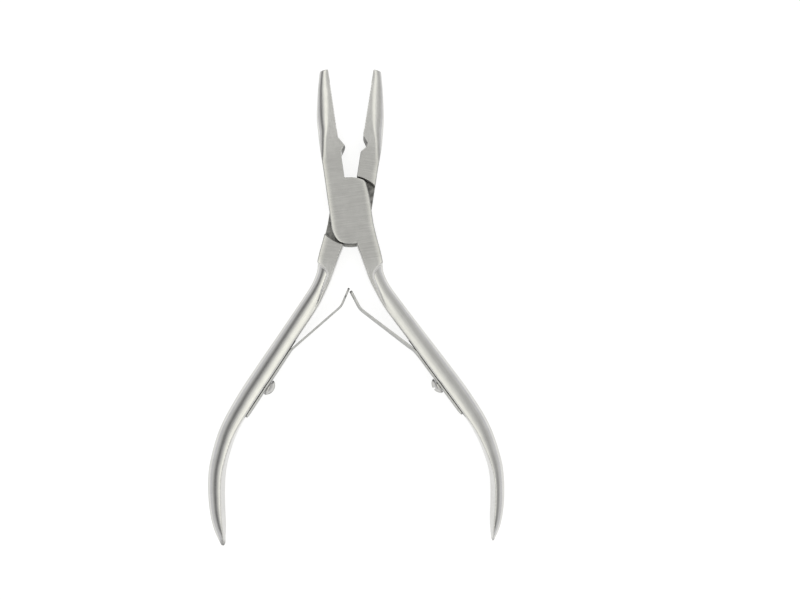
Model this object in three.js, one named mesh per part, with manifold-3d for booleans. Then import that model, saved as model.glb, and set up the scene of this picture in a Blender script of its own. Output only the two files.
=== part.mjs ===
// Crimping pliers: two forged halves in a lap joint, held open by two leaf springs.
// Millimetres and degrees. +Y points to the jaw tips, +Z up, and the tool lies on z = 0
// with the pivot axis on x = y = 0. The handles are drawn open, as the springs hold them.
//
// Both halves come from one outline, drawn with the jaws closed and parallel to Y:
// jaw on the -x side, handle on the +x side, lap plate on top. The front half is that
// outline turned by its lean. The back half is the same thing turned over about Y.

import * as THREE from "three";
import { mergeVertices } from "three/addons/utils/BufferGeometryUtils.js";
import Module from "manifold-3d";

const wasm = await Module();
wasm.setup();

// Joint
const THICKNESS = 6;
const MIDDLE = THICKNESS / 2;
const LAP_GAP = 0.1; // between the two lap plates
const PLATE_LEFT = -5.5;
const PLATE_RIGHT = 5.5;
const PLATE_RIGHT_TOP = 4.95; // the right side leans in towards the jaws
const PLATE_TOP_CORNER = 0.6;
const PLATE_LEFT_CORNER = 1.8;
const BACK_SHOULDER_GAP = 0.25; // from the back plate's round end to the front half's shoulder
const FRONT_SHOULDER_GAP = 0.35; // and from the front plate's to the back half's
const PLATE_DROP = 0.02; // a plate's face lies this much under the box faces beside it
const EDGE = 0.35; // broken edges

// Pivot rivet: headed at the back, blind in the front plate
const RIVET_RADIUS = 2.4;
const RIVET_HEAD_RADIUS = 3.4;
const RIVET_HEAD_DEPTH = 1.1;
const RIVET_TOP = THICKNESS - 1.0;
const RUNNING_GAP = 0.08;

// Each half: its turn from closed, how far its handle is bent out, how much slimmer the handle's
// last stretch and how much wider the jaw's outer side is, and the radii of its lap plate and of
// its recess's shoulder
const FRONT_PLATE = 8.7;
const BACK_PLATE = 9.15;
const FRONT_RECESS = BACK_PLATE + BACK_SHOULDER_GAP;
const BACK_RECESS = FRONT_PLATE + FRONT_SHOULDER_GAP;
const FRONT = { lean: 8.2, splay: 3.7, slim: 0.6, wide: 0.4, plate: FRONT_PLATE, recess: FRONT_RECESS };
const BACK = { lean: -8.8, splay: 0, slim: 0, wide: 0, plate: BACK_PLATE, recess: BACK_RECESS };
const BEND = new THREE.Vector2(9, -16);

// Jaws
const JAW_TIP = 38;
const JAW_FOOT = -1; // a jaw is drawn down to here, inside its lap plate
const JAW_STATIONS = [JAW_FOOT, 4, 8, 11, 14, 19, 22, 24.5, 28, 32, 35.5, 37.6, JAW_TIP];
const JAW_OUTER = [
  [-2.35, 38],
  [-3.0, 35.5],
  [-3.8, 32],
  [-4.95, 26],
  [-5.4, 21.5],
  [-5.6, 17],
  [-5.5, 12],
  [PLATE_LEFT, 5],
  [PLATE_LEFT, JAW_FOOT],
];
const WIDEN = { y: [18, 28], share: [0, 1] }; // where a wide jaw gets wider
const FRONT_FACE = -0.48; // gripping faces, off the centre line
const BACK_FACE = -0.27;
const THROAT = -0.3; // inner side between the beak or notch and the plate
// Inner edges, from the foot to the tip
const BEAK = [
  [THROAT, JAW_FOOT],
  [THROAT, 15.3],
  [0.9, 16.8],
  [1.15, 17.3],
  [FRONT_FACE, 19.7],
  [FRONT_FACE, JAW_TIP],
];
const NOTCH = [
  [THROAT, JAW_FOOT],
  [THROAT, 15.6],
  [-1.7, 17.3],
  [-0.7, 19],
  [BACK_FACE, 20.2],
  [BACK_FACE, JAW_TIP],
];
const JAW_HALF = { y: [17, JAW_TIP], half: [MIDDLE, 1.5] }; // half thickness, from root to tip
const JAW_ROUND = { y: [14, 18.5, 24.5, JAW_TIP], width: [0.4, 1.5, 3.1, 1.35] }; // round outer side

// Handles: outer and inner edges in pairs, from the joint to the tip
const FLAT_TOP = [9.2, -36.2]; // straight inner face that carries the spring
const FLAT_END = [18.0, -55.4];
const HANDLE_OUTER = [
  [5.5, -4],
  [5.9, -8.4],
  [6.3, -11.7],
  [6.5, -14.5],
  [6.4, -17],
  [7.2, -20.5],
  [9.2, -25.1],
  [13.6, -34.4],
  [18.1, -43.8],
  [22.3, -53],
  [25.5, -62.1],
  [26.7, -71],
  [26.4, -77],
  [25, -83.6],
  [22.9, -89],
  [20.2, -93],
];
const HANDLE_INNER = [
  [0.3, -6],
  [0.4, -9],
  [1.05, -12],
  [1.6, -15],
  [2.2, -18.2],
  [3.2, -22],
  [4.9, -27],
  FLAT_TOP,
  [(FLAT_TOP[0] + FLAT_END[0]) / 2, (FLAT_TOP[1] + FLAT_END[1]) / 2],
  FLAT_END,
  [21.1, -63.2],
  [22.4, -71],
  [22.3, -76.7],
  [21.3, -82.9],
  [20.2, -88],
  [19.4, -92.5],
];
const HANDLE_HALF = {
  y: [-93, -88, -80, -62, -45, -26, -15, -10],
  half: [1, 2.2, 2.8, MIDDLE, 2.95, 2.65, 2.95, MIDDLE],
};
const HANDLE_ROUND = { y: [-18, -14], share: [1, 0] }; // square at the joint, D-shaped below
const HANDLE_FLAT = 1; // width of the flat that the D-section keeps
const SLIM = { y: [-90, -77, -71, -60], share: [0.7, 1.5, 1, 0] }; // where a slim handle is slimmer
const HANDLE_STATIONS = 46;

// Springs, measured along the flat inner face from its top end
const LEAF = 0.55;
const LEAF_WIDTH = 4.2;
const NOSE_WIDTH = 2.3;
const LEAF_LIFT = 0.12; // face of the handle to the leaf
const SCREW_AT = 14.2;
const LEAF_TAIL = 23.8;
const TAIL_CORNER = 0.5; // the leaf's tail is narrowed over this length and to this depth
const ARM_GAP = 0.3; // clamped base to free arm
const KINK_BEND = 1.2; // half length of the bend at the kink
// Each arm: where it leaves the handle and at what angle, its length to the kink, and its nose
const FRONT_ARM = { leaves: 3.1, turn: 16.1, reach: 18.3, kink: 25, nose: 5.4 };
const BACK_ARM = { leaves: 2.6, turn: 15.5, reach: 17.7, kink: 26, nose: 5.2 };
const FORK_SLOT = 1.3; // slot in the front spring's nose
const FORK_DEPTH = 2.4;
const TONGUE = 0.8; // narrow nose of the back spring

// Spring screws
const SCREW_RADIUS = 1.0;
const SCREW_DEPTH = 2.6; // below the handle's face
const HOLE_GAP = 0.1;
const HEAD_RADIUS = 2.15;
const HEAD_HEIGHT = 1.6;
const HEAD_RIM = 0.35; // straight rim under the dome
const SLOT_WIDTH = 0.5;
const SLOT_DEPTH = 0.55;

// Working values of the cuts
const SLIVER = 0.01; // largest move when slivers left by the cuts are cleaned away
const THROUGH = 3; // length that passes right through a leaf

const radians = THREE.MathUtils.degToRad;

// ---- Solids -------------------------------------------------------------------------

// A closed geometry as a manifold-3d solid, moved by a matrix if one is given.
function solid(geometry, matrix = new THREE.Matrix4()) {
  const bare = geometry.index ? geometry.toNonIndexed() : geometry.clone();
  const positions = new THREE.BufferGeometry().setAttribute("position", bare.getAttribute("position"));
  const merged = mergeVertices(positions.applyMatrix4(matrix), 1e-4);
  return new wasm.Manifold(
    new wasm.Mesh({
      numProp: 3,
      vertProperties: merged.attributes.position.array,
      triVerts: new Uint32Array(merged.index.array),
    }),
  );
}

// A solid as a three.js mesh with its own material.
function meshOf(shape, name, color, roughness) {
  const made = shape.getMesh();
  const geometry = new THREE.BufferGeometry();
  geometry.setAttribute("position", new THREE.BufferAttribute(made.vertProperties, 3));
  geometry.setIndex(new THREE.BufferAttribute(made.triVerts, 1));
  geometry.computeVertexNormals();
  const material = new THREE.MeshStandardMaterial({ color, roughness, metalness: 1 });
  const mesh = new THREE.Mesh(geometry, material);
  mesh.name = name;
  return mesh;
}

// Closed skin over rings of points that all have the same count, with flat ends.
function skin(rings) {
  const count = rings[0].length;
  const points = rings.flat();
  const faces = [];
  for (let ring = 0; ring < rings.length - 1; ring++) {
    for (let i = 0; i < count; i++) {
      const a = ring * count + i;
      const b = ring * count + ((i + 1) % count);
      faces.push(a, b, a + count, b, b + count, a + count);
    }
  }
  const last = points.length - count;
  for (let i = 1; i < count - 1; i++) {
    faces.push(0, i + 1, i);
    faces.push(last, last + i, last + i + 1);
  }
  const geometry = new THREE.BufferGeometry().setFromPoints(points);
  geometry.setIndex(faces);
  return geometry;
}

// Value at `at` on the straight lines between the points (x, y), x rising.
function along(x, y, at) {
  let i = 1;
  while (i < x.length - 1 && at > x[i]) i++;
  const share = THREE.MathUtils.clamp((at - x[i - 1]) / (x[i] - x[i - 1]), 0, 1);
  return THREE.MathUtils.lerp(y[i - 1], y[i], share);
}

// D-shaped ring between two edge points: flat on the inner side, round on the outer one.
function ringBetween(inner, outer, half, round) {
  const width = inner.distanceTo(outer);
  const curve = Math.min(round, width - 2 * EDGE);
  const arc = [0, 30, 60, 90];
  const profile = arc.map((a) => [width - curve + curve * Math.cos(radians(a)), half * Math.sin(radians(a))]);
  const upper = [...profile, [width / 3, half], [EDGE, half], [0, half - EDGE]];
  const lower = upper.slice(1).reverse().map(([across, z]) => [across, -z]);
  return [...upper, ...lower].map(([across, z]) => {
    const at = inner.clone().lerp(outer, across / width);
    return new THREE.Vector3(at.x, at.y, MIDDLE + z);
  });
}

// ---- Halves ------------------------------------------------------------------------

// Jaw from the middle of the lap plate to its tip.
function jaw(innerEdge, { wide }) {
  const widened = ([x, y]) => new THREE.Vector2(x - wide * along(WIDEN.y, WIDEN.share, y), y);
  const outerCurve = new THREE.SplineCurve(JAW_OUTER.map(widened));
  const outer = outerCurve.getPoints(60).reverse();
  const outerX = outer.map((p) => p.x);
  const outerY = outer.map((p) => p.y);
  const innerX = innerEdge.map((p) => p[0]);
  const innerY = innerEdge.map((p) => p[1]);
  const stations = [...new Set([...JAW_STATIONS, ...innerY])].sort((a, b) => a - b);
  const rings = stations.map((y) => {
    const half = along(JAW_HALF.y, JAW_HALF.half, y);
    const round = along(JAW_ROUND.y, JAW_ROUND.width, y);
    const shrink = y === JAW_TIP ? EDGE : 0;
    const innerPoint = new THREE.Vector2(along(innerY, innerX, y) - shrink, y);
    const outerPoint = new THREE.Vector2(along(outerY, outerX, y) + shrink, y);
    return ringBetween(innerPoint, outerPoint, half - shrink, round);
  });
  return solid(skin(rings));
}

// Bends a point of the handle outwards about the knee.
function splayed([x, y], splay) {
  const point = new THREE.Vector2(x, y);
  return y < BEND.y ? point.rotateAround(BEND, radians(splay)) : point;
}

// Handle from the middle of the lap plate to its tip.
function handle({ splay, slim }) {
  const slimmed = ([x, y]) => [x + slim * along(SLIM.y, SLIM.share, y), y];
  const outer = new THREE.SplineCurve(HANDLE_OUTER.map((p) => splayed(p, splay)));
  const inner = new THREE.SplineCurve(HANDLE_INNER.map((p) => splayed(slimmed(p), splay)));
  const rings = [];
  for (let i = 0; i <= HANDLE_STATIONS; i++) {
    const share = i / HANDLE_STATIONS;
    const outerPoint = outer.getPoint(share);
    const innerPoint = inner.getPoint(share);
    const width = outerPoint.distanceTo(innerPoint);
    const half = along(HANDLE_HALF.y, HANDLE_HALF.half, outerPoint.y);
    const roundness = along(HANDLE_ROUND.y, HANDLE_ROUND.share, outerPoint.y);
    const round = THREE.MathUtils.lerp(EDGE, width - HANDLE_FLAT, roundness);
    rings.push(ringBetween(innerPoint, outerPoint, half, round));
  }
  return solid(skin(rings));
}

// Lap plate: a disc about the pivot, cut off along the two sides of the half, with its two
// free corners rounded.
function lapPlate(radius) {
  const leftY = Math.sqrt(radius ** 2 - PLATE_LEFT ** 2);
  const topY = Math.sqrt(radius ** 2 - PLATE_RIGHT_TOP ** 2);
  const bottomY = Math.sqrt(radius ** 2 - PLATE_RIGHT ** 2);
  const topCorner = Math.acos((PLATE_RIGHT_TOP - PLATE_TOP_CORNER) / radius);
  const leftCorner = Math.PI + Math.acos((-PLATE_LEFT - PLATE_LEFT_CORNER) / radius);
  const outline = new THREE.Shape();
  outline.moveTo(PLATE_RIGHT, -bottomY);
  outline.lineTo(PLATE_RIGHT, 0);
  outline.lineTo(PLATE_RIGHT_TOP, topY - PLATE_TOP_CORNER);
  outline.quadraticCurveTo(PLATE_RIGHT_TOP, topY, radius * Math.cos(topCorner), radius * Math.sin(topCorner));
  outline.absarc(0, 0, radius, topCorner, Math.PI - Math.acos(-PLATE_LEFT / radius));
  outline.lineTo(PLATE_LEFT, -leftY + PLATE_LEFT_CORNER);
  outline.quadraticCurveTo(PLATE_LEFT, -leftY, radius * Math.cos(leftCorner), radius * Math.sin(leftCorner));
  outline.absarc(0, 0, radius, leftCorner, 2 * Math.PI - Math.acos(PLATE_RIGHT / radius));
  const bottom = MIDDLE + LAP_GAP / 2;
  const plate = new THREE.ExtrudeGeometry(outline, {
    depth: THICKNESS - PLATE_DROP - bottom,
    bevelEnabled: false,
    curveSegments: 24,
  });
  return solid(plate, new THREE.Matrix4().makeTranslation(0, 0, bottom));
}

// Cylinder on the pivot axis between two heights.
function pivotCylinder(radius, low, high) {
  const cylinder = new THREE.CylinderGeometry(radius, radius, high - low, 48);
  cylinder.rotateX(Math.PI / 2);
  cylinder.translate(0, 0, (low + high) / 2);
  return solid(cylinder);
}

// Frame on the flat inner face: x along it towards the pivot, y out of it, at `distance`.
function onFlat(splay, distance) {
  const top = splayed(FLAT_TOP, splay);
  const end = splayed(FLAT_END, splay);
  const direction = top.clone().sub(end).normalize();
  const at = top.clone().addScaledVector(direction, -distance);
  const frame = new THREE.Matrix4().makeRotationZ(direction.angle());
  return frame.setPosition(at.x, at.y, MIDDLE);
}

// Cylinder along the y axis of the flat face's frame, from `low` to `high`.
function screwCylinder(radius, low, high) {
  const cylinder = new THREE.CylinderGeometry(radius, radius, high - low, 24);
  cylinder.translate(0, (low + high) / 2, 0);
  return cylinder;
}

// One half, lap plate up.
function half(innerEdge, side) {
  const recess = pivotCylinder(side.recess, -1, MIDDLE + LAP_GAP / 2);
  const screwHole = screwCylinder(SCREW_RADIUS + HOLE_GAP, -SCREW_DEPTH - HOLE_GAP, 1);
  return jaw(innerEdge, side)
    .add(handle(side))
    .subtract(recess)
    .add(lapPlate(side.plate))
    .subtract(solid(screwHole, onFlat(side.splay, SCREW_AT)));
}

// ---- Springs and screws --------------------------------------------------------------

// Leaf along a path in the x-y plane, `width` deep in z at each point of the path.
function leaf(path, widths) {
  const rings = path.map((point, i) => {
    const before = path[Math.max(i - 1, 0)];
    const after = path[Math.min(i + 1, path.length - 1)];
    const normal = after.clone().sub(before).normalize().rotateAround(new THREE.Vector2(), Math.PI / 2);
    const low = point.clone().addScaledVector(normal, -LEAF / 2);
    const high = point.clone().addScaledVector(normal, LEAF / 2);
    const z = widths[i] / 2;
    return [
      new THREE.Vector3(low.x, low.y, -z),
      new THREE.Vector3(high.x, high.y, -z),
      new THREE.Vector3(high.x, high.y, z),
      new THREE.Vector3(low.x, low.y, z),
    ];
  });
  return skin(rings);
}

// Clamped end of the spring, flat on the handle, with the screw's hole.
function springBase(side, arm) {
  const height = LEAF_LIFT + LEAF / 2;
  const tail = SCREW_AT - LEAF_TAIL;
  const front = SCREW_AT - arm.leaves - ARM_GAP / 2;
  const path = [tail, tail + TAIL_CORNER, front].map((x) => new THREE.Vector2(x, height));
  const widths = [LEAF_WIDTH - 2 * TAIL_CORNER, LEAF_WIDTH, LEAF_WIDTH];
  const hole = screwCylinder(SCREW_RADIUS + HOLE_GAP, -THROUGH, THROUGH);
  const frame = onFlat(side.splay, SCREW_AT);
  return solid(leaf(path, widths), frame).subtract(solid(hole, frame));
}

// Free arm: straight, then kinked up to its nose. `turn` is its angle off the handle.
function springArm(side, arm, noseCut) {
  const root = new THREE.Vector2(ARM_GAP / 2, LEAF_LIFT + LEAF / 2);
  const reach = new THREE.Vector2(Math.cos(radians(arm.turn)), Math.sin(radians(arm.turn)));
  const rise = reach.clone().rotateAround(new THREE.Vector2(), -radians(arm.kink));
  const knee = root.clone().addScaledVector(reach, arm.reach);
  const length = arm.reach + arm.nose;
  const path = [
    root,
    root.clone().addScaledVector(reach, arm.reach / 2),
    knee.clone().addScaledVector(reach, -KINK_BEND),
    knee.clone().addScaledVector(rise.clone().sub(reach), KINK_BEND / 4),
    knee.clone().addScaledVector(rise, KINK_BEND),
    knee.clone().addScaledVector(rise, arm.nose),
  ];
  const stations = [0, arm.reach / 2, arm.reach - KINK_BEND, arm.reach, arm.reach + KINK_BEND, length];
  const widths = stations.map((at) => THREE.MathUtils.lerp(LEAF_WIDTH, NOSE_WIDTH, at / length));
  const frame = onFlat(side.splay, arm.leaves);
  const tip = path.at(-1);
  const noseFrame = new THREE.Matrix4().makeRotationZ(rise.angle()).setPosition(tip.x, tip.y, 0);
  let shape = solid(leaf(path, widths), frame);
  for (const box of noseCut) {
    shape = shape.subtract(solid(box, frame.clone().multiply(noseFrame)));
  }
  return shape;
}

// Slot that makes a fork of the front spring's nose.
function forkSlot() {
  return [new THREE.BoxGeometry(2 * FORK_DEPTH, THROUGH, FORK_SLOT)];
}

// Two side cuts that leave a tongue on the back spring's nose.
function tongueCuts() {
  return [-1, 1].map((way) => {
    const cut = new THREE.BoxGeometry(2 * FORK_DEPTH, THROUGH, NOSE_WIDTH);
    return cut.translate(0, 0, (way * (TONGUE + NOSE_WIDTH)) / 2);
  });
}

// Domed slotted screw through the spring into the handle, its slot turned off the handle's line.
function springScrew(side, slotTurn) {
  const under = LEAF_LIFT + LEAF + LEAF_LIFT;
  const top = under + HEAD_HEIGHT;
  const dome = HEAD_HEIGHT - HEAD_RIM;
  const sphere = (HEAD_RADIUS ** 2 + dome ** 2) / (2 * dome);
  const profile = [
    [0, -SCREW_DEPTH],
    [SCREW_RADIUS, -SCREW_DEPTH],
    [SCREW_RADIUS, under],
    [HEAD_RADIUS, under],
  ];
  for (const share of [1, 0.75, 0.5, 0.25, 0]) {
    const out = share * HEAD_RADIUS;
    profile.push([out, top - sphere + Math.sqrt(sphere ** 2 - out ** 2)]);
  }
  const lathe = new THREE.LatheGeometry(profile.map(([r, y]) => new THREE.Vector2(r, y)), 24);
  const body = solid(lathe, onFlat(side.splay, SCREW_AT));
  const slot = new THREE.BoxGeometry(3 * HEAD_RADIUS, 2 * SLOT_DEPTH, SLOT_WIDTH);
  slot.rotateY(-radians(slotTurn));
  slot.translate(0, top, 0);
  return body.subtract(solid(slot, onFlat(side.splay, SCREW_AT)));
}

// Pivot rivet: flush countersunk head at the back, blind end in the front plate.
function pivotRivet() {
  const profile = [
    [0, 0],
    [RIVET_HEAD_RADIUS, 0],
    [RIVET_RADIUS, RIVET_HEAD_DEPTH],
    [RIVET_RADIUS, RIVET_TOP],
    [0, RIVET_TOP],
  ];
  return turned(profile);
}

// Room for the rivet, wider all round by the running gap.
function rivetRoom() {
  return turned([
    [0, -1],
    [RIVET_HEAD_RADIUS + RUNNING_GAP, -1],
    [RIVET_HEAD_RADIUS + RUNNING_GAP, 0],
    [RIVET_RADIUS + RUNNING_GAP, RIVET_HEAD_DEPTH],
    [RIVET_RADIUS + RUNNING_GAP, RIVET_TOP + RUNNING_GAP],
    [0, RIVET_TOP + RUNNING_GAP],
  ]);
}

// Solid of revolution on the pivot axis from (radius, height) points.
function turned(profile) {
  const lathe = new THREE.LatheGeometry(profile.map(([r, z]) => new THREE.Vector2(r, z)), 36);
  return solid(lathe.rotateX(Math.PI / 2));
}

// ---- Assembly ------------------------------------------------------------------------

// Places a half's parts: turned by its lean, and turned over about Y for the back half.
function placement(side, turnedOver) {
  const place = new THREE.Matrix4().makeRotationZ(radians(side.lean));
  if (turnedOver) {
    place.multiply(new THREE.Matrix4().makeRotationY(Math.PI));
    place.multiply(new THREE.Matrix4().makeTranslation(0, 0, -THICKNESS));
  }
  return place;
}

const pliers = new THREE.Group();
pliers.name = "crimping_pliers";

function addPart(shape, place, name, color, roughness) {
  const clean = shape.transform(place.toArray()).simplify(SLIVER);
  pliers.add(meshOf(clean, name, color, roughness));
}

const frontPlace = placement(FRONT, false);
const backPlace = placement(BACK, true);
const still = new THREE.Matrix4();
const room = rivetRoom();
const SATIN_STEEL = 0xaeada8;
const SPRING_STEEL = 0xb4b4b0;
const SCREW_STEEL = 0x9c9b96;

const frontHalf = half(BEAK, FRONT).transform(frontPlace.toArray()).subtract(room);
const backHalf = half(NOTCH, BACK).transform(backPlace.toArray()).subtract(room);
addPart(frontHalf, still, "jaw_handle_front", SATIN_STEEL, 0.35);
addPart(backHalf, still, "jaw_handle_back", SATIN_STEEL, 0.35);
addPart(pivotRivet(), still, "pivot_rivet", SATIN_STEEL, 0.35);
addPart(springBase(FRONT, FRONT_ARM), frontPlace, "spring_base_right", SPRING_STEEL, 0.3);
addPart(springBase(BACK, BACK_ARM), backPlace, "spring_base_left", SPRING_STEEL, 0.3);
addPart(springArm(FRONT, FRONT_ARM, forkSlot()), frontPlace, "spring_arm_right", SPRING_STEEL, 0.3);
addPart(springArm(BACK, BACK_ARM, tongueCuts()), backPlace, "spring_arm_left", SPRING_STEEL, 0.3);
addPart(springScrew(FRONT, 80), frontPlace, "spring_screw_right", SCREW_STEEL, 0.4);
addPart(springScrew(BACK, 35), backPlace, "spring_screw_left", SCREW_STEEL, 0.4);

export default pliers;
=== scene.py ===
"""Crimping pliers: fine meshes, steel finishes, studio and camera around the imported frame.

Shapes are fields: functions of x, y, z that are negative inside the steel, zero on its surface
and close to the true distance near it. They are written in millimetres in the closed frame:
one half with its jaw on the -x side, its handle on the +x side and its lap plate on top.
The front half is that shape turned by its lean, and the back half is the same shape turned
over about Y. Springs and screws have frames of their own on the handle's flat inner face.
"""

import math

import bpy
import numpy as np
import openvdb
from mathutils import Matrix, Vector


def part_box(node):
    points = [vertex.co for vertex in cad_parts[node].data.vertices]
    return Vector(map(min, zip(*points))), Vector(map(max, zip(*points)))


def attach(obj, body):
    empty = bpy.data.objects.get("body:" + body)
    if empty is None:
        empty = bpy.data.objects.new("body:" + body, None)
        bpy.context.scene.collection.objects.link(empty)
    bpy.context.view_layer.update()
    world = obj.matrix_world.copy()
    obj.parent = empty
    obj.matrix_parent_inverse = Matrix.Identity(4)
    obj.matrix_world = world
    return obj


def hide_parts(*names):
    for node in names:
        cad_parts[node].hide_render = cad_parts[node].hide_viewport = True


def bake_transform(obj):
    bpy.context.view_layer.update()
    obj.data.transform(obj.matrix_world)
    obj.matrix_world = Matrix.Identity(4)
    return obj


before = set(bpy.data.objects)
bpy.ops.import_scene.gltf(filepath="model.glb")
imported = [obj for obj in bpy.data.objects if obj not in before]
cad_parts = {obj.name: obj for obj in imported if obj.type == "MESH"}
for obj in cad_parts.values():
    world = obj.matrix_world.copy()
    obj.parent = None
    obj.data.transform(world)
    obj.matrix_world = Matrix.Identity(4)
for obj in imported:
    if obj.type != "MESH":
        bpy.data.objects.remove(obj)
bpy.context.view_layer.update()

MM = 0.001
HALF_STEP = 0.18  # size of a mesh face, mm
LEAF_STEP = 0.12
SCREW_STEP = 0.08

# Joint
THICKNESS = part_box("jaw_handle_front")[1].z / MM
MIDDLE = THICKNESS / 2
LAP_GAP = 0.1  # between the two lap plates' inner faces
PLATE_UNDER = MIDDLE + LAP_GAP / 2
PLATE_LEFT = -5.5
PLATE_RIGHT = 5.5
PLATE_RIGHT_LEAN = 0.0095  # the right side leans in towards the jaws
PLATE_CORNERS = (0.6, 2.0)  # its free corners: upper right and lower left
EDGE = 0.35  # broken edges
CRISP = 0.15  # sharper edges inside the joint
RIM = 1.6  # width and depth of the soft outer edge of the joint's flats
RIM_DEPTH = 0.2
UPRIGHT = 0.12  # half height of the upright wall that round sides keep

# Pivot rivet
RIVET_RADIUS = 2.4
RIVET_HEAD = 3.4
RIVET_HEAD_DEPTH = 1.1
RIVET_COVER = 1  # from the rivet's blind end to the front plate's outer face
RIVET_TOP = THICKNESS - RIVET_COVER
RUNNING_GAP = 0.08

# The two halves: turn from closed, bend of the handle, slimmer handle, wider jaw, plate and recess radii
FRONT = {"lean": 8.2, "splay": 3.7, "slim": 0.6, "wide": 0.4, "plate": 8.7, "recess": 9.4, "over": False}
BACK = {"lean": -8.8, "splay": 0.0, "slim": 0.0, "wide": 0.0, "plate": 9.15, "recess": 9.05, "over": True}
BEND = (9.0, -16.0)

# Jaws
JAW_TIP = 38.0
JAW_FOOT = -1.0  # y where jaw and handle meet, in the middle of the lap plate
THROAT = -0.3  # x of the inner edge between the joint and the beak or the notch
JAW_OUTER = [
    (-2.35, 38), (-3, 35.5), (-3.8, 32), (-4.95, 26), (-5.4, 21.5), (-5.6, 17), (-5.5, 12),
    (PLATE_LEFT, 5), (PLATE_LEFT, JAW_FOOT),
]
WIDEN = [(18, 0), (28, 1)]  # share of a wide jaw's extra width
FRONT_FACE = -0.48  # x of the gripping faces
BACK_FACE = -0.27
# Inner edges at the middle of the thickness, and at the two faces, where the flanks are cut back
BEAK = [
    (THROAT, JAW_FOOT), (THROAT, 15.3), (0.9, 16.8), (1.15, 17.3), (FRONT_FACE, 19.7), (FRONT_FACE, JAW_TIP),
]
BEAK_TOP = [
    (THROAT, JAW_FOOT), (THROAT, 15.4), (0.9, 17.2), (FRONT_FACE, 19.5), (FRONT_FACE, JAW_TIP),
]
NOTCH = [
    (THROAT, JAW_FOOT), (THROAT, 15.6), (-1.7, 17.3), (-0.7, 19), (BACK_FACE, 20.2), (BACK_FACE, JAW_TIP),
]
NOTCH_TOP = [
    (THROAT, JAW_FOOT), (THROAT, 15.6), (-1.75, 17.3), (-1.75, 18.2), (-0.63, 19.6), (BACK_FACE, 20.3),
    (BACK_FACE, JAW_TIP),
]
FLANKS = (15.7, 20)  # y of the beak's and the notch's cut-back flanks
JAW_HALF = [(13, 3), (17, 2.95), (21, 2.7), (38, 1.5)]  # (y, half thickness)
JAW_ROUND = [(10, RIM), (14, 1.5), (18.5, 1.9), (23.5, 3.1), (31, 3.1), (38, 1.9)]  # (y, round width)
JAW_DEPTH = [(8, 0.05), (14, 0.12), (18.5, 0.5), (23, 0.78)]  # (y, share of the half thickness)
TEETH = (21.6, 34.4)  # y where the serrations begin and end
TOOTH_PITCH = 0.8
TOOTH_DEPTH = 0.22
HALF_BOX = ((-6, -95, 0), (30, JAW_TIP, THICKNESS))  # that a half is sampled in, without its margin

# Handles
FLAT_TOP = (9.2, -36.2)  # ends of the flat inner face that carries the spring
FLAT_END = (18.0, -55.4)
HANDLE_OUTER = [
    (PLATE_RIGHT, -0.5), (5.5, -4), (5.9, -8.4), (6.3, -11.7), (6.5, -14.5), (6.4, -17),
    (7.2, -20.5), (9.2, -25.1), (13.6, -34.4), (18.1, -43.8), (22.3, -53), (25.5, -62.1),
    (26.7, -71), (26.4, -77), (25, -83.6), (22.9, -89), (20.2, -93),
]
HANDLE_INNER = [
    (0.3, -6), (0.4, -9), (1.05, -12), (1.6, -15), (2.2, -18.2), (3.2, -22), (4.9, -27),
    FLAT_TOP, ((FLAT_TOP[0] + FLAT_END[0]) / 2, (FLAT_TOP[1] + FLAT_END[1]) / 2), FLAT_END,
    (21.1, -63.2), (22.4, -71), (22.3, -76.7), (21.3, -82.9), (20.2, -88), (19.4, -92.5),
]
# (y, half thickness)
HANDLE_HALF = [(-93, 1), (-88, 2.2), (-80, 2.8), (-62, 3), (-45, 2.95), (-26, 2.65), (-15, 2.95), (-10, 3)]
SLIM = [(-90, 0.7), (-77, 1.5), (-71, 1), (-60, 0)]  # (y, share of the slimmer handle's difference)
STRIP = [(-30, -0.2), (-24, 0.45), (-18, 0.9)]  # (y, width) of the flat's strip along the inner side
# The flat's lower end, how far the D-shaped part lies under it by y, and the width of the step
KNEE = [(7.4, -14.1), (6.2, -14.75), (5, -15.3), (3.9, -16.1), (3.15, -17.2), (2.95, -18.6)]
KNEE_SINK = [(-34, 0), (-26, 0.12), (-20, 0.4), (-16.5, 0.5), (-14, 0.45)]
KNEE_SLOPE = 0.55
INNER_ROUND = 0.9  # width of the handle's softened inner edge
END_RUN = 7  # last pieces of the edge lines, which give the direction of the handle's end

# Surfaces that differ from the rest
KNEE_BRUSHED = (-17, -12)  # y where the joint's cross brushing fades in, and at the jaws out again
JAW_BRUSHED = (13, 23)
RIM_SHADE = 0.35  # how much painted shade the rim of the lap plate's inner face gets
WALL_TOP = -5.8  # y where the painted shadow along the lap plate's wall begins
TIP_DARKENING = 0.85  # how much darker the handle's tip is coloured
TIP = (-92.8, -90.6)  # y where it is so in full, and not at all
SKIN = 0.06  # depth of metal that counts as part of a face
FLANK_REACH = 0.75  # how far in from its middle line a flank is cut back
SEAT = (-47, 11)  # y of the middle of the spring's seat, where shade under the leaf is painted, and half its length

# Springs, along the flat inner face from its top end
LEAF = 0.55
LEAF_WIDTH = 4.2
NOSE_WIDTH = 2.3
LEAF_LIFT = 0.12
SCREW_AT = 14.2
LEAF_TAIL = 23.8
TAIL_CORNER = 0.7
LEAF_EDGE = 0.1
HINGE_BEND = 2.2  # length of the bend where the leaf leaves the handle
KINK_BEND = 2.6
# Each arm: where it leaves the handle and at what angle, its length to the kink, its nose and twist
FRONT_ARM = {"leaves": 3.1, "turn": 16.1, "reach": 18.3, "kink": 25, "nose": 5.4, "twist": 7, "fork": True}
BACK_ARM = {"leaves": 2.6, "turn": 15.5, "reach": 17.7, "kink": 26, "nose": 5.2, "twist": 0, "fork": False}
TWISTED = (-3, 3)  # stretch over which an arm takes its twist
BLUED = 0.8  # length of the nose's dark end
FORK_SLOT = 1.3
FORK_DEPTH = 2.4
TONGUE = 0.8
TONGUE_EASE = 0.4  # half the length over which the leaf narrows to its tongue

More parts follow.
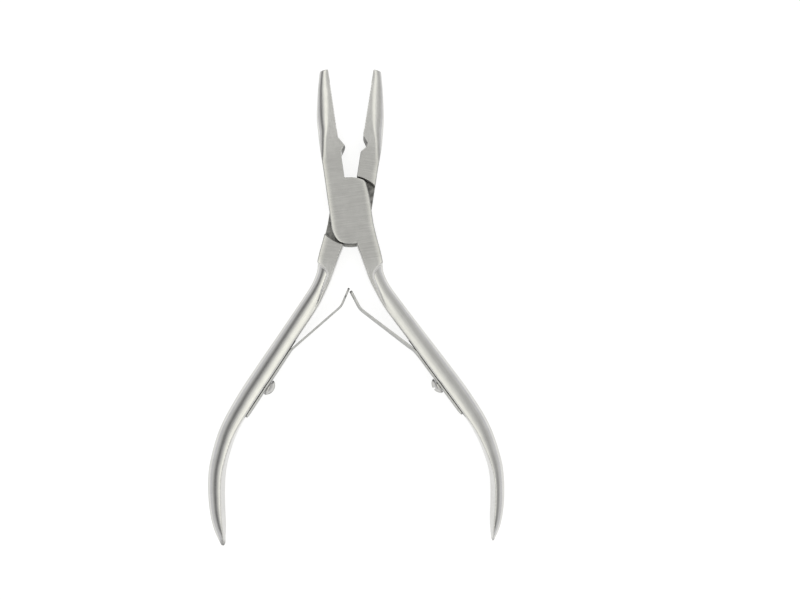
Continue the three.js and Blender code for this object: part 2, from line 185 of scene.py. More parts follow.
# Spring screws
SCREW_RADIUS = 1.0
SCREW_DEPTH = 2.6
HOLE_GAP = 0.1
HEAD_UNDER = LEAF_LIFT + LEAF + LEAF_LIFT  # height of the head's underside over the handle's face
HEAD_RADIUS = 2.15
HEAD_HEIGHT = 1.6
HEAD_RIM = 0.35
HEAD_EDGE = 0.14  # broken edges of screws and rivet
SLOT_WIDTH = 0.5
SLOT_DEPTH = 0.55


# ---- Field tools -----------------------------------------------------------------------

def curve(points, parts=14):
    """Smooth line through the points, as many short straight pieces."""
    p = np.array(points, float)
    p = np.vstack([p[:1], p, p[-1:]])
    t = np.linspace(0, 1, parts, endpoint=False)[:, None]
    spans = []
    for a, b, c, d in zip(p, p[1:], p[2:], p[3:]):
        start, end = (c - a) / 2, (d - b) / 2
        spans.append(
            (2 * b - 2 * c + start + end) * t**3 + (3 * c - 3 * b - 2 * start - end) * t**2 + start * t + b
        )
    return np.vstack([*spans, p[-1:]])


def line_distance(line, x, y):
    """Distance to an open line in the plane."""
    nearest = np.inf
    for (ax, ay), (bx, by) in zip(line[:-1], line[1:]):
        dx, dy = bx - ax, by - ay
        share = np.clip(((x - ax) * dx + (y - ay) * dy) / (dx * dx + dy * dy), 0, 1)
        nearest = np.minimum(nearest, (x - ax - share * dx) ** 2 + (y - ay - share * dy) ** 2)
    return np.sqrt(nearest)


def right_of(line, x, y):
    """Distance to a line that runs along y, positive on its +x side."""
    order = np.argsort(line[:, 1])
    at = np.interp(y, line[order, 1], line[order, 0])
    return np.sign(x - at) * line_distance(line, x, y)


def above(line, x, y):
    """Distance to a line that runs along x, positive on its +y side."""
    order = np.argsort(line[:, 0])
    at = np.interp(x, line[order, 0], line[order, 1])
    return np.sign(y - at) * line_distance(line, x, y)


def varying(pairs, at):
    """Value at `at` on a smooth curve through the (position, value) pairs."""
    place, value = (np.array(column, float) for column in zip(*pairs))
    slope = np.gradient(value, place)
    slope[[0, -1]] = 0
    at = np.clip(at, place[0], place[-1])
    i = np.clip(np.searchsorted(place, at) - 1, 0, len(place) - 2)
    span = place[i + 1] - place[i]
    t = (at - place[i]) / span
    rise = value[i + 1] - value[i]
    ease = t * t * (3 - 2 * t)
    return value[i] + rise * ease + span * t * (1 - t) * (slope[i] * (1 - t) - slope[i + 1] * t)


def corner(one, other, width, depth):
    """Where two faces meet: a corner rounded over `width` of the one and `depth` of the other."""
    a = np.maximum(one + width, 0) / width
    b = np.maximum(other + depth, 0) / depth
    out = np.hypot(a, b)
    steep = np.maximum(np.hypot(a / width, b / depth), 1e-9)
    return np.where((a > 0) & (b > 0), out * (out - 1) / steep, np.maximum(one, other))


def rounded(one, other, radius):
    return corner(one, other, radius, radius)


def eased(value, low, high):
    """0 below low, 1 above high, smooth between them."""
    t = np.clip((value - low) / (high - low), 0, 1)
    return t * t * (3 - 2 * t)


# ---- Fields of the halves ----------------------------------------------------------------

def splayed(point, splay):
    """Bends a point of the handle outwards about the knee."""
    x, y = point[0] - BEND[0], point[1] - BEND[1]
    if y >= 0:
        return point
    c, s = math.cos(math.radians(splay)), math.sin(math.radians(splay))
    return (BEND[0] + c * x - s * y, BEND[1] + s * x + c * y)


def teeth(y):
    """Depth of the fine cross serrations of a gripping face."""
    wave = 0.5 - 0.5 * np.cos(2 * math.pi * (y - TEETH[0]) / TOOTH_PITCH)
    return TOOTH_DEPTH * wave * ((y > TEETH[0]) & (y < TEETH[1]))


def jaw_outer_line(side):
    y, share = zip(*WIDEN)
    return curve([(x - side["wide"] * np.interp(at, y, share), at) for x, at in JAW_OUTER])


def jaw(x, y, z, outer_line, inner_lines):
    """Jaw from the middle of the lap plate to its tip: flat with a round outer side."""
    outer = right_of(outer_line, x, y)
    half = varying(JAW_HALF, y)
    middle, top = (-right_of(np.array(line), x, y) for line in inner_lines)
    inner = middle + (top - middle) * np.clip(np.abs(z - MIDDLE) / half, 0, 1) - teeth(y)
    depth = np.maximum(varying(JAW_DEPTH, y) * half - UPRIGHT, RIM_DEPTH)
    section = corner(-outer, np.abs(z - MIDDLE) - half, varying(JAW_ROUND, y), depth)
    section = rounded(section, -inner, CRISP)
    return np.maximum(rounded(section, y - JAW_TIP, EDGE), JAW_FOOT - y)


def handle_lines(side):
    """Outer, inner and knee lines of a half's handle."""
    slim_y, slim_share = zip(*SLIM)
    slimmed = [(x + side["slim"] * np.interp(y, slim_y, slim_share), y) for x, y in HANDLE_INNER]
    outer = curve([splayed(p, side["splay"]) for p in HANDLE_OUTER])
    inner = curve([splayed(p, side["splay"]) for p in slimmed])
    return outer, inner, curve([splayed(p, side["splay"]) for p in KNEE])


def handle(x, y, z, lines):
    """Handle from the middle of the lap plate to its tip: square, then D-shaped below the knee."""
    outer_line, inner_line, knee_line = lines
    outer = -right_of(outer_line, x, y)
    inner = right_of(inner_line, x, y)
    strip = varying(STRIP, y)
    flat = np.maximum(above(knee_line, x, y), strip - inner)
    drop = 1 - eased(flat, -KNEE_SLOPE, 0)  # 0 on the flat, 1 on the D-shaped part
    half = varying(HANDLE_HALF, y) - varying(KNEE_SINK, y) * drop
    width = RIM + (np.maximum(outer + inner - strip, RIM) - RIM) * drop
    depth = RIM_DEPTH + (half - UPRIGHT - RIM_DEPTH) * drop
    section = corner(-outer, np.abs(z - MIDDLE) - half, width, depth)
    section = corner(section, -inner, INNER_ROUND, EDGE)
    end = (outer_line[-1] + inner_line[-1]) / 2
    before = -1 - END_RUN
    way = outer_line[-1] - outer_line[before] + inner_line[-1] - inner_line[before]
    way /= np.linalg.norm(way)
    past_end = (x - end[0]) * way[0] + (y - end[1]) * way[1]
    return np.maximum(rounded(section, past_end, EDGE), y - JAW_FOOT)


def lap_plate(x, y, z, radius):
    """Round-ended plate over the pivot, cut along the two sides of the half."""
    right = x - PLATE_RIGHT + PLATE_RIGHT_LEAN * np.maximum(y, 0) ** 2
    outline = rounded(np.hypot(x, y) - radius, PLATE_LEFT - x, PLATE_CORNERS[1])
    outline = rounded(outline, right, PLATE_CORNERS[0])
    plate = corner(outline, z - THICKNESS, RIM, RIM_DEPTH)
    return rounded(plate, PLATE_UNDER - z, CRISP)


def countersunk(x, y, depth, grow):
    """The rivet's shape, `grow` wider all round, by depth below the back face."""
    radius = RIVET_RADIUS + (RIVET_HEAD - RIVET_RADIUS) * np.clip(1 - depth / RIVET_HEAD_DEPTH, 0, 1)
    return np.maximum(np.hypot(x, y) - radius - grow, depth - RIVET_TOP - grow)


def flat_frame(side, distance):
    """Place and directions on the flat inner face: along it to the pivot, and out of it."""
    top = np.array(splayed(FLAT_TOP, side["splay"]))
    end = np.array(splayed(FLAT_END, side["splay"]))
    way = (top - end) / np.linalg.norm(top - end)
    return top - way * distance, way, np.array([-way[1], way[0]])


def screw_hole(x, y, z, side):
    at, way, out = flat_frame(side, SCREW_AT)
    length = (x - at[0]) * way[0] + (y - at[1]) * way[1]
    height = (x - at[0]) * out[0] + (y - at[1]) * out[1]
    hole = np.hypot(length, z - MIDDLE) - SCREW_RADIUS - HOLE_GAP
    return np.maximum(hole, -SCREW_DEPTH - HOLE_GAP - height)


def half_field(side, inner_lines):
    """Field of one whole half: jaw, lap plate and handle in one forging."""
    lines = handle_lines(side)
    jaw_line = jaw_outer_line(side)

    def field(x, y, z):
        radius = np.hypot(x, y)
        body = np.minimum(jaw(x, y, z, jaw_line, inner_lines), handle(x, y, z, lines))
        recess = np.maximum(radius - side["recess"], z - PLATE_UNDER)
        body = rounded(body, -recess, CRISP)
        body = np.minimum(body, lap_plate(x, y, z, side["plate"]))
        depth = THICKNESS - z if side["over"] else z
        body = np.maximum(body, -countersunk(x, y, depth, RUNNING_GAP))
        return np.maximum(body, -screw_hole(x, y, z, side))

    return field


def half_grain(side, inner_line):
    """Per point: along and across the metal, its share in the cross-brushed joint, and its painted shade.

    Shade is painted on the faces inside the lap joint, along the lap plate's wall, on the flanks of the beak
    or the notch and on the flat that the spring lies on; the handle's tip is coloured darker too."""
    outer_line, seat_line, _ = handle_lines(side)

    def grain(x, y, z):
        jaw_across = right_of(jaw_outer_line(side), x, y)
        handle_across = right_of(outer_line, x, y)
        across = np.where(y > 0, jaw_across, handle_across)
        joint = eased(y, *KNEE_BRUSHED) * (1 - eased(y, *JAW_BRUSHED))
        radius = np.hypot(x, y)
        lap = (radius < side["recess"] + SKIN) & (z < PLATE_UNDER + SKIN)
        rim = lap & (radius > side["plate"] - EDGE) & (radius < side["recess"] - SKIN) & (y < 0)
        outline = rounded(radius - side["plate"], PLATE_LEFT - x, PLATE_CORNERS[1])
        wall = (np.abs(outline) < SKIN) & (y < WALL_TOP) & (z < THICKNESS - RIM_DEPTH)
        between_faces = MIDDLE - np.abs(z - MIDDLE) > EDGE
        cut_back = (y > FLANKS[0]) & (y < FLANKS[1]) & (right_of(np.array(inner_line), x, y) > -FLANK_REACH)
        flank = between_faces & cut_back
        seat = (right_of(seat_line, x, y) < SKIN) & (np.abs(y - SEAT[0]) < SEAT[1])
        # Painted shade: the lap joint's faces, part of its rim, the plate's wall, the flanks and the spring's
        # seat are coloured darker, and so is the handle's tip
        painted_shade_and_skin = np.where(rim, RIM_SHADE, lap | wall | flank | seat)
        painted_shade_and_skin = np.maximum(painted_shade_and_skin, TIP_DARKENING * (1 - eased(y, *TIP)))
        return {"ribbon": np.stack([y, across, z - MIDDLE], axis=1), "joint": joint, "painted_shade_and_skin": painted_shade_and_skin}

    return grain


# ---- Fields of the springs, screws and rivet -----------------------------------------------

def leaf_field(arm):
    """The spring's leaf laid out flat: s along it from the bend, t through it, w across it."""
    length = arm["reach"] + arm["nose"]
    parting = length - FORK_DEPTH  # where the fork or the tongue begins
    tail = arm["leaves"] - LEAF_TAIL
    screw = arm["leaves"] - SCREW_AT

    def field(s, t, w):
        half = (LEAF_WIDTH + (NOSE_WIDTH - LEAF_WIDTH) * np.clip(s / length, 0, 1)) / 2
        if not arm["fork"]:
            half = half + (TONGUE / 2 - half) * eased(s, parting - TONGUE_EASE, parting + TONGUE_EASE)
        outline = rounded(np.abs(w) - half, s - length, TONGUE / 2)
        outline = rounded(outline, tail - s, TAIL_CORNER)
        if arm["fork"]:
            slot_end = np.maximum(parting + FORK_SLOT / 2 - s, 0)
            outline = np.maximum(outline, FORK_SLOT / 2 - np.hypot(w, slot_end))
        outline = np.maximum(outline, SCREW_RADIUS + HOLE_GAP - np.hypot(s - screw, w))
        return rounded(outline, np.abs(t) - LEAF / 2, LEAF_EDGE)

    return field


def screw_field(slot_turn):
    """Domed slotted screw: y out of the handle's face, its slot turned from the x axis."""
    c, n = math.cos(math.radians(slot_turn)), math.sin(math.radians(slot_turn))
    top = HEAD_UNDER + HEAD_HEIGHT
    dome = HEAD_HEIGHT - HEAD_RIM
    sphere = (HEAD_RADIUS**2 + dome**2) / (2 * dome)

    def field(x, y, z):
        radius = np.hypot(x, z)
        cap = np.sqrt(radius**2 + (y - top + sphere) ** 2) - sphere
        head = rounded(radius - HEAD_RADIUS, cap, HEAD_EDGE)
        head = rounded(head, HEAD_UNDER - y, HEAD_EDGE)
        slot = np.maximum(np.abs(c * z - n * x) - SLOT_WIDTH / 2, top - SLOT_DEPTH - y)
        head = rounded(head, -slot, HEAD_EDGE / 2)
        shank = rounded(radius - SCREW_RADIUS, -SCREW_DEPTH - y, HEAD_EDGE)
        return np.minimum(head, np.maximum(shank, y - HEAD_UNDER - HEAD_RIM))

    return field


def rivet_field(x, y, z):
    return rounded(countersunk(x, y, z, 0), -z, HEAD_EDGE / 2)


# ---- Meshes --------------------------------------------------------------------------------

MARGIN = 2  # steps of the grid round the box that is sampled
BAND = 3  # half width of the sampled band round a surface, in steps of its grid
SETTLES = 2  # times that the points are moved onto the surface
NUDGE = 0.004  # step of a gradient, mm
LEAST_SLOPE = 0.2  # least squared slope that a move onto the surface is divided by
EDGE_DEPTH = 0.35  # how far under the surface an edge is felt
EDGE_GAIN = 1.6  # and how quickly it counts in full
PATH_STEP = 0.02  # pieces that a leaf's centre line is added up from, mm


def slopes(field, points):
    """Field at the points and its gradient there."""
    x, y, z = points.T
    value = field(x, y, z)
    gradient = [field(x + NUDGE, y, z), field(x, y + NUDGE, z), field(x, y, z + NUDGE)]
    return value, (np.stack(gradient, axis=1) - value[:, None]) / NUDGE


def surface(field, low, high, step):
    """Points, faces and normals of the surface where the field is zero."""
    low = np.array(low, float) - MARGIN * step
    counts = np.ceil((np.array(high) + MARGIN * step - low) / step).astype(int) + 1
    axes = [start + step * np.arange(count) for start, count in zip(low, counts)]
    x, y, z = np.meshgrid(*axes, indexing="ij", sparse=True)
    samples = np.clip(field(x, y, z), -BAND * step, BAND * step)
    grid = openvdb.FloatGrid(background=BAND * step)
    grid.copyFromArray(np.ascontiguousarray(samples, np.float32))
    points, faces = grid.convertToQuads()
    points = low + points.astype(float) * step
    for _ in range(SETTLES):
        value, gradient = slopes(field, points)
        length = np.maximum((gradient**2).sum(axis=1), LEAST_SLOPE)
        points -= gradient * np.clip(value / length, -step / 2, step / 2)[:, None]
    normals = slopes(field, points)[1]
    return points, faces, normals / np.maximum(np.linalg.norm(normals, axis=1), 1e-6)[:, None]


def piece(name, points, faces, normals, matrix=Matrix(), attributes=None):
    """A mesh object in metres from points in millimetres, placed by a matrix."""
    turn = np.array(matrix.to_3x3())
    points = points @ turn.T + np.array(matrix.translation)
    mesh = bpy.data.meshes.new(name)
    mesh.from_pydata((points * MM).tolist(), [], faces.tolist())
    mesh.normals_split_custom_set_from_vertices((normals @ turn.T).tolist())
    for key, values in (attributes or {}).items():
        kind = "FLOAT" if values.ndim == 1 else "FLOAT_VECTOR"
        layer = mesh.attributes.new(key, kind, "POINT")
        layer.data.foreach_set("value" if values.ndim == 1 else "vector", values.ravel().astype(np.float32))
    made = bpy.data.objects.new(name, mesh)
    bpy.context.scene.collection.objects.link(made)
    return made


def convexity(field, points, normals):
    """How sharp the edge is at each point: 0 on a flat, towards 1 on a rounded edge."""
    inside = points - EDGE_DEPTH * normals
    return np.clip((field(*inside.T) + EDGE_DEPTH) / EDGE_DEPTH * EDGE_GAIN, 0, 1)


def placement(side):
    """Matrix from the closed frame to the part's frame, in millimetres."""
    matrix = Matrix.Rotation(math.radians(side["lean"]), 4, "Z")
    if side["over"]:
        matrix = matrix @ Matrix.Rotation(math.pi, 4, "Y") @ Matrix.Translation((0, 0, -THICKNESS))
    return matrix


def on_flat(side, distance):
    """Matrix from the flat inner face's frame to the part's frame."""
    at, way, out = flat_frame(side, distance)
    local = Matrix(((way[0], out[0], 0, at[0]), (way[1], out[1], 0, at[1]), (0, 0, 1, MIDDLE), (0, 0, 0, 1)))
    return placement(side) @ local


def make_half(name, side, inner_lines):
    field = half_field(side, inner_lines)
    points, faces, normals = surface(field, *HALF_BOX, HALF_STEP)
    layers = half_grain(side, inner_lines[0])(*points.T)
    layers["edge"] = convexity(field, points, normals)
    layers["closed"] = points
    return piece(name, points, faces, normals, placement(side), layers)


def leaf_path(arm, stations):
    """Centre line of the leaf in its hinge's frame, and its heading, at each station."""
    tail = arm["leaves"] - LEAF_TAIL
    fine = np.arange(tail - 1, arm["reach"] + arm["nose"] + 1, PATH_STEP)
    leave = eased(fine, -HINGE_BEND / 2, HINGE_BEND / 2) * math.radians(arm["turn"])
    kink = eased(fine, arm["reach"] - KINK_BEND / 2, arm["reach"] + KINK_BEND / 2) * math.radians(arm["kink"])
    heading = leave - kink
    x = np.concatenate([[0], np.cumsum(np.cos(heading[:-1]) * PATH_STEP)])
    y = np.concatenate([[0], np.cumsum(np.sin(heading[:-1]) * PATH_STEP)])
    x -= np.interp(0, fine, x)
    y -= np.interp(0, fine, y)
    return (np.interp(stations, fine, column) for column in (x, y, heading))


def twisted(vectors, angle):
    """Vectors (s, t, w) turned about the leaf's own length."""
    s, t, w = vectors.T
    c, n = np.cos(angle), np.sin(angle)
    return np.stack([s, c * t - n * w, n * t + c * w], axis=1)


def make_leaf(name, side, arm):
    """Leaf spring: meshed flat, then bent along its centre line."""
    field = leaf_field(arm)
    low = (arm["leaves"] - LEAF_TAIL, -LEAF / 2, -LEAF_WIDTH / 2)
    high = (arm["reach"] + arm["nose"], LEAF / 2, LEAF_WIDTH / 2)
    flat, faces, flat_normals = surface(field, low, high, LEAF_STEP)
    s = flat[:, 0]
    x, y, heading = leaf_path(arm, s)
    twist = math.radians(arm["twist"]) * eased(s, *TWISTED)
    _, t, w = twisted(flat, twist).T
    ns, nt, nw = twisted(flat_normals, twist).T
    c, n = np.cos(heading), np.sin(heading)
    points = np.stack([x - n * t, y + c * t + LEAF_LIFT + LEAF / 2, w], axis=1)
    normals = np.stack([c * ns - n * nt, n * ns + c * nt, nw], axis=1)
    layers = {
        "ribbon": flat,
        "edge": convexity(field, flat, flat_normals),
        "painted_shade_and_skin": eased(s, high[0] - BLUED, high[0]),
    }
    return piece(name, points, faces, normals, on_flat(side, arm["leaves"]), layers)


def make_screw(name, side, slot_turn):
    """Slotted screw: shadow is painted dark on the ends of its head's rim, along the handle."""
    low = (-HEAD_RADIUS, -SCREW_DEPTH, -HEAD_RADIUS)
    high = (HEAD_RADIUS, HEAD_UNDER + HEAD_HEIGHT, HEAD_RADIUS)
    field = screw_field(slot_turn)
    points, faces, normals = surface(field, low, high, SCREW_STEP)
    x, y, z = points.T
    # Painted shadow: the ends of the head's rim along the handle are coloured dark
    rim = 1 - eased(y, HEAD_UNDER + HEAD_RIM, HEAD_UNDER + 2 * HEAD_RIM)
    ends = eased(np.abs(x), HEAD_RADIUS / 2, HEAD_RADIUS)
    layers = {
        "ribbon": np.stack([np.arctan2(z, x) * HEAD_RADIUS, np.hypot(x, z), y], axis=1),
        "edge": convexity(field, points, normals),
        "painted_shade_and_skin": rim * ends,
    }
    return piece(name, points, faces, normals, on_flat(side, SCREW_AT), layers)


def make_rivet(name):
    points, faces, normals = surface(
        rivet_field, (-RIVET_HEAD, -RIVET_HEAD, 0), (RIVET_HEAD, RIVET_HEAD, RIVET_TOP), SCREW_STEP
    )
    x, y, z = points.T
    layers = {
        "ribbon": np.stack([np.arctan2(y, x) * RIVET_HEAD, np.hypot(x, y), z], axis=1),
        "edge": convexity(rivet_field, points, normals),
    }
    return piece(name, points, faces, normals, Matrix(), layers)


# ---- Materials -----------------------------------------------------------------------------

class Nodes:
    """A node tree and short ways to add nodes to it."""

    def __init__(self, owner):
        owner.use_nodes = True
        self.tree = owner.node_tree
        self.nodes = self.tree.nodes

    def link(self, source, target):
        self.tree.links.new(source, target)

    def feed(self, value, socket):
        """Sets a socket to a number or a colour, or links it to another node's output."""
        if isinstance(value, (int, float)):
            socket.default_value = value
        elif isinstance(value, tuple):
            socket.default_value = (*value, 1)
        else:
            self.link(value, socket)

    def math(self, operation, *values):
        node = self.nodes.new("ShaderNodeMath")
        node.operation = operation
        for value, socket in zip(values, node.inputs):
            self.feed(value, socket)
        return node.outputs[0]

    def blend_color(self, share, a, b):
        """Colour a where share is 0, colour b where it is 1."""
        node = self.nodes.new("ShaderNodeMix")
        node.data_type = "RGBA"
        for value, socket in ((share, "Factor"), (a, "A"), (b, "B")):
            self.feed(value, node.inputs[socket])
        return node.outputs["Result"]


class Finish(Nodes):
    """A node material with a Principled metal shader.

    `glancing` is its brightness, as a share, where it is seen almost edge on."""

    def __init__(self, name, glancing=1.0):
        self.material = bpy.data.materials.new(name)
        super().__init__(self.material)
        self.shader = self.nodes["Principled BSDF"]
        self.shader.inputs["Metallic"].default_value = 1
        self.shader.inputs["Specular Tint"].default_value = (glancing, glancing, glancing, 1)

    def attribute(self, name, output="Fac"):
        node = self.nodes.new("ShaderNodeAttribute")
        node.attribute_name = name
        return node.outputs[output]

    def noise(self, vector, stretch, detail=4.0, roughness=0.6):
        """Noise over a vector of millimetres, `stretch` cycles per millimetre in each direction."""
        scale = self.nodes.new("ShaderNodeVectorMath")
        scale.operation = "MULTIPLY"
        scale.inputs[1].default_value = stretch
        self.link(vector, scale.inputs[0])
        node = self.nodes.new("ShaderNodeTexNoise")
        node.inputs["Scale"].default_value = 1
        node.inputs["Detail"].default_value = detail
        node.inputs["Roughness"].default_value = roughness
        self.link(scale.outputs[0], node.inputs["Vector"])
        return node.outputs["Fac"]

    def mix(self, share, a, b):
        """a where share is 0, b where it is 1."""
        return self.math("ADD", self.math("MULTIPLY", self.math("SUBTRACT", b, a), share), a)

    def ramp(self, value, dark, light, low=0.3, high=0.7):
        node = self.nodes.new("ShaderNodeValToRGB")
        for element, position, color in zip(node.color_ramp.elements, (low, high), (dark, light)):
            element.position = position
            element.color = (*color, 1)
        self.link(value, node.inputs[0])
        return node.outputs[0]

    def relief(self, height, strength, depth_mm):
        node = self.nodes.new("ShaderNodeBump")
        node.inputs["Strength"].default_value = strength
        node.inputs["Distance"].default_value = depth_mm * MM
        self.link(height, node.inputs["Height"])
        self.link(node.outputs[0], self.shader.inputs["Normal"])


BRUSHED = 0.82  # brightness of the cross-brushed flats, as a share of the rest
# Painted shade inside the lap joint, along its wall, on the flanks and under the spring, and the darker tip:
# their colour and roughness
PAINTED_SHADE_TONES = ((0.12, 0.12, 0.116), (0.42, 0.415, 0.4))  # dark and light ends of the painted shade's colour
PAINTED_SHADE_ROUGHNESS = 0.55
SHADOW_AND_OXIDE = ((0.04, 0.04, 0.042), (0.12, 0.12, 0.12))  # painted shadow on the heads' rims, and the dark skin of the leaves' noses


def ground_steel(name, dark, light, roughness):
    """Forged halves: brushed across on the joint's flats, along the metal elsewhere, bright edges."""
    finish = Finish(name, glancing=0.92)
    ribbon = finish.attribute("ribbon", "Vector")
    closed = finish.attribute("closed", "Vector")
    lengthwise = finish.noise(ribbon, (0.12, 6, 6), detail=5)
    crosswise = finish.noise(closed, (0.1, 4, 4), detail=4)
    joint = finish.attribute("joint")
    streaks = finish.mix(joint, lengthwise, crosswise)
    mottle = finish.noise(closed, (0.35, 0.35, 0.35), detail=3)
    tone = finish.mix(0.4, streaks, mottle)
    edge = finish.attribute("edge")
    painted_shade_and_skin = finish.attribute("painted_shade_and_skin")
    brushed = finish.ramp(tone, *([level * BRUSHED for level in color] for color in (dark, light)))
    bright = finish.blend_color(joint, finish.ramp(tone, dark, light), brushed)
    # Painted shade in the joint's hollows, along its wall, on the flanks and under the spring: mottled dark
    # colour
    patches = finish.noise(closed, (0.9, 0.9, 0.9), detail=3)
    color = finish.blend_color(painted_shade_and_skin, bright, finish.ramp(patches, *PAINTED_SHADE_TONES))
    finish.link(color, finish.shader.inputs["Base Color"])
    rough = finish.math("MULTIPLY_ADD", streaks, 0.12, roughness - 0.06)
    rough = finish.math("MULTIPLY_ADD", joint, 0.07, rough)
    rough = finish.math("MULTIPLY_ADD", edge, -0.06, rough)
    finish.link(finish.mix(painted_shade_and_skin, rough, PAINTED_SHADE_ROUGHNESS), finish.shader.inputs["Roughness"])
    finish.relief(streaks, 0.12, 0.012)
    return finish.material


def shaded_and_skinned(finish, tone, mottle, dark, light):
    """Colour of clean steel, darker with painted shadow on the screw heads' rims and with dark skin on the
    leaves' noses.
    """
    clean = finish.ramp(tone, dark, light)
    color = finish.blend_color(finish.attribute("painted_shade_and_skin"), clean, finish.ramp(mottle, *SHADOW_AND_OXIDE))
    finish.link(color, finish.shader.inputs["Base Color"])


def strip_steel(name, dark, light, roughness):
    """Rolled spring strip: fine lengthwise lines and polished edges."""
    finish = Finish(name, glancing=0.6)
    ribbon = finish.attribute("ribbon", "Vector")
    lines = finish.noise(ribbon, (0.3, 9, 9), detail=4)
    mottle = finish.noise(ribbon, (0.8, 0.8, 0.8), detail=3)
    tone = finish.mix(0.5, lines, mottle)
    shaded_and_skinned(finish, tone, mottle, dark, light)
    rough = finish.math("MULTIPLY_ADD", lines, 0.14, roughness - 0.07)
    rough = finish.math("MULTIPLY_ADD", finish.attribute("edge"), -0.08, rough)
    finish.link(rough, finish.shader.inputs["Roughness"])
    finish.relief(lines, 0.2, 0.008)
    return finish.material


def turned_steel(name, dark, light, roughness):
    """Turned steel: rings about the axis, darker where shadow is painted on the head's rim."""
    finish = Finish(name, glancing=0.6)
    ribbon = finish.attribute("ribbon", "Vector")
    rings = finish.noise(ribbon, (0.15, 14, 14), detail=3)
    mottle = finish.noise(ribbon, (1.2, 1.2, 1.2), detail=3)
    tone = finish.mix(0.5, rings, mottle)
    shaded_and_skinned(finish, tone, mottle, dark, light)
    rough = finish.math("MULTIPLY_ADD", rings, 0.15, roughness - 0.07)
    finish.link(rough, finish.shader.inputs["Roughness"])
    finish.relief(rings, 0.3, 0.01)
    return finish.material


def floor_finish():
    """Plain white studio floor."""
    finish = Finish("white_floor")
    finish.shader.inputs["Metallic"].default_value = 0
    finish.shader.inputs["Base Color"].default_value = (0.35, 0.35, 0.35, 1)
    finish.shader.inputs["Roughness"].default_value = 0.9
    finish.shader.inputs["Specular IOR Level"].default_value = 0
    finish.shader.inputs["Emission Color"].default_value = (1, 1, 1, 1)
    finish.shader.inputs["Emission Strength"].default_value = 0.8
    return finish.material


# ---- Studio ----------------------------------------------------------------------------------

# Camera over the tool: it looks straight down, and its view is shifted as the picture is framed
CAMERA_AT = (0.418 * MM, -25.565 * MM, 0.168)
CAMERA_LENS = 27.89
CAMERA_SHIFT = (0.06, 0.01)
FLOOR_AT = -0.00002  # just under the part, m


def make_camera():
    camera = bpy.data.cameras.new("camera")
    camera.lens = CAMERA_LENS
    camera.sensor_width = 36
    camera.shift_x, camera.shift_y = CAMERA_SHIFT
    camera.clip_start = 0.01
    holder = bpy.data.objects.new("camera", camera)
    holder.location = CAMERA_AT
    bpy.context.scene.collection.objects.link(holder)
    bpy.context.scene.camera = holder


def make_floor():
    bpy.ops.mesh.primitive_plane_add(size=3, location=(0, 0, FLOOR_AT))
    floor = bpy.context.object
    floor.name = "floor"
    floor.data.materials.append(floor_finish())


# Brightness of the studio by the angle from straight up, in degrees: towards the left a long
# strip light, then a dark gap, then a bright wall, and the same but fainter towards the right
STUDIO_LEFT = [
    (0, 0.41), (5, 0.47), (10, 0.7), (15, 0.95), (20, 1), (24, 0.94), (28, 0.76), (33, 0.52), (38, 0.36),
    (43, 0.2), (48, 0.11), (53, 0.2), (59, 0.36), (67, 0.48), (90, 0.52),
]
STUDIO_RIGHT = [
    (0, 0.41), (5, 0.5), (10, 0.75), (15, 0.9), (20, 0.82), (27, 0.62), (36, 0.46), (47, 0.41), (58, 0.45),
    (68, 0.5), (90, 0.52),
]
STUDIO_STRENGTH = 1.45
WARMTH = (1.03, -0.1)  # blue as a share of the level, and how it changes with the level
WALL = (0.53, 0.53, 0.55)  # colour of the walls
WALL_FROM = (0.42, 0.26)  # height of the direction where the walls begin to show, and show alone
JUST_OVER_ONE = 1.0001  # keeps the root above 0 straight up and down
RIGHT_WAY = math.radians(50)  # the right side's middle, from the +x axis towards the jaws
RIGHT_SHARE = (-0.15, 0.95)  # cosine off that middle where the right side begins, and has the whole


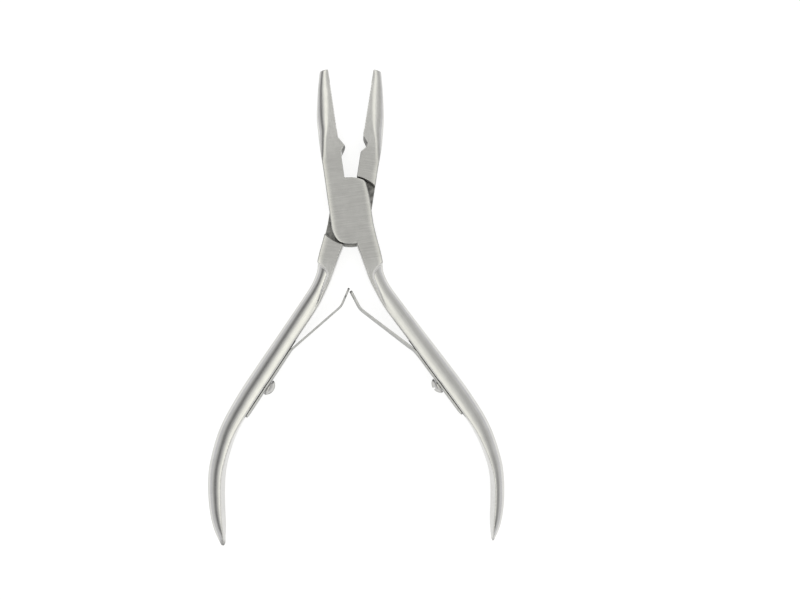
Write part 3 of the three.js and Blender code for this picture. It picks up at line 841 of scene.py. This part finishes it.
class Studio(Nodes):
    """Soft light all round, as a world that is brighter where the strip lights hang."""

    def __init__(self):
        self.world = bpy.data.worlds.new("studio")
        super().__init__(self.world)

    def levels(self, share, stops):
        """Brightness by the share of a quarter turn, from (degrees, level) stops."""
        node = self.nodes.new("ShaderNodeValToRGB")
        self.link(share, node.inputs["Fac"])
        ramp = node.color_ramp
        while len(ramp.elements) < len(stops):
            ramp.elements.new(0.5)
        for element, (degrees, level) in zip(ramp.elements, stops):
            element.position = degrees / 90
            element.color = (level, level, level * (WARMTH[0] + WARMTH[1] * level), 1)
        return node.outputs[0]

    def share(self, value, start, end):
        """0 at start, 1 at end, and the straight line between them."""
        node = self.nodes.new("ShaderNodeMapRange")
        self.link(value, node.inputs["Value"])
        node.inputs["From Min"].default_value = start
        node.inputs["From Max"].default_value = end
        return node.outputs[0]

    def build(self):
        place = self.nodes.new("ShaderNodeTexCoord")
        split = self.nodes.new("ShaderNodeSeparateXYZ")
        self.link(place.outputs["Generated"], split.inputs["Vector"])
        x, y, z = split.outputs
        angle = self.math("ARCTAN2", self.math("ABSOLUTE", x), z)
        quarter = self.math("DIVIDE", angle, math.pi / 2)
        across = self.math("SQRT", self.math("SUBTRACT", JUST_OVER_ONE, self.math("MULTIPLY", z, z)))
        towards_jaws = self.math("MULTIPLY", y, math.sin(RIGHT_WAY))
        way = self.math("MULTIPLY_ADD", x, math.cos(RIGHT_WAY), towards_jaws)
        right = self.share(self.math("DIVIDE", way, across), *RIGHT_SHARE)
        sides = [self.levels(quarter, stops) for stops in (STUDIO_LEFT, STUDIO_RIGHT)]
        lights = self.blend_color(right, *sides)
        color = self.blend_color(self.share(z, *WALL_FROM), lights, WALL)
        background = self.nodes["Background"]
        background.inputs["Strength"].default_value = STUDIO_STRENGTH
        self.link(color, background.inputs["Color"])
        return self.world


# ---- Assembly --------------------------------------------------------------------------------

def dress(made, material, slot, *nodes):
    made.data.materials.append(material)
    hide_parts(*nodes)


def bend_between(made, side):
    """Bakes the leaf's placement into its mesh; the direction along the flat inner face is worked out but not
    used.
    """
    along = (placement(side).to_3x3() @ Vector((*flat_frame(side, 0)[1], 0))) * MM
    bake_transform(made)


steel = ground_steel("satin_steel", (0.585, 0.58, 0.563), (0.725, 0.72, 0.701), 0.17)
spring_steel = strip_steel("spring_steel", (0.46, 0.46, 0.455), (0.62, 0.62, 0.61), 0.32)
screw_steel = turned_steel("screw_steel", (0.5, 0.495, 0.48), (0.66, 0.655, 0.64), 0.24)
rivet_steel = turned_steel("rivet_steel", (0.54, 0.535, 0.52), (0.64, 0.635, 0.62), 0.28)

front = make_half("front_half_forging", FRONT, (BEAK, BEAK_TOP))
dress(front, steel, "satin_steel", "jaw_handle_front")
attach(front, "front_half")
back = make_half("back_half_forging", BACK, (NOTCH, NOTCH_TOP))
dress(back, steel, "satin_steel", "jaw_handle_back")
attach(back, "back_half")

rivet = make_rivet("pivot_rivet_flush")
dress(rivet, rivet_steel, "rivet_steel", "pivot_rivet")
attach(rivet, "front_half")

right_leaf = make_leaf("right_leaf_spring", FRONT, FRONT_ARM)
dress(right_leaf, spring_steel, "spring_steel", "spring_base_right", "spring_arm_right")
bend_between(right_leaf, FRONT)
left_leaf = make_leaf("left_leaf_spring", BACK, BACK_ARM)
dress(left_leaf, spring_steel, "spring_steel", "spring_base_left", "spring_arm_left")
bend_between(left_leaf, BACK)

for name, side, body, slot_turn in (("right", FRONT, "front_half", 80), ("left", BACK, "back_half", 35)):
    screw = make_screw(name + "_slotted_screw", side, slot_turn)
    dress(screw, screw_steel, "screw_steel", "spring_screw_" + name)
    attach(screw, body)

make_floor()
bpy.context.scene.world = Studio().build()
make_camera()
bpy.context.scene.view_settings.view_transform = "Standard"
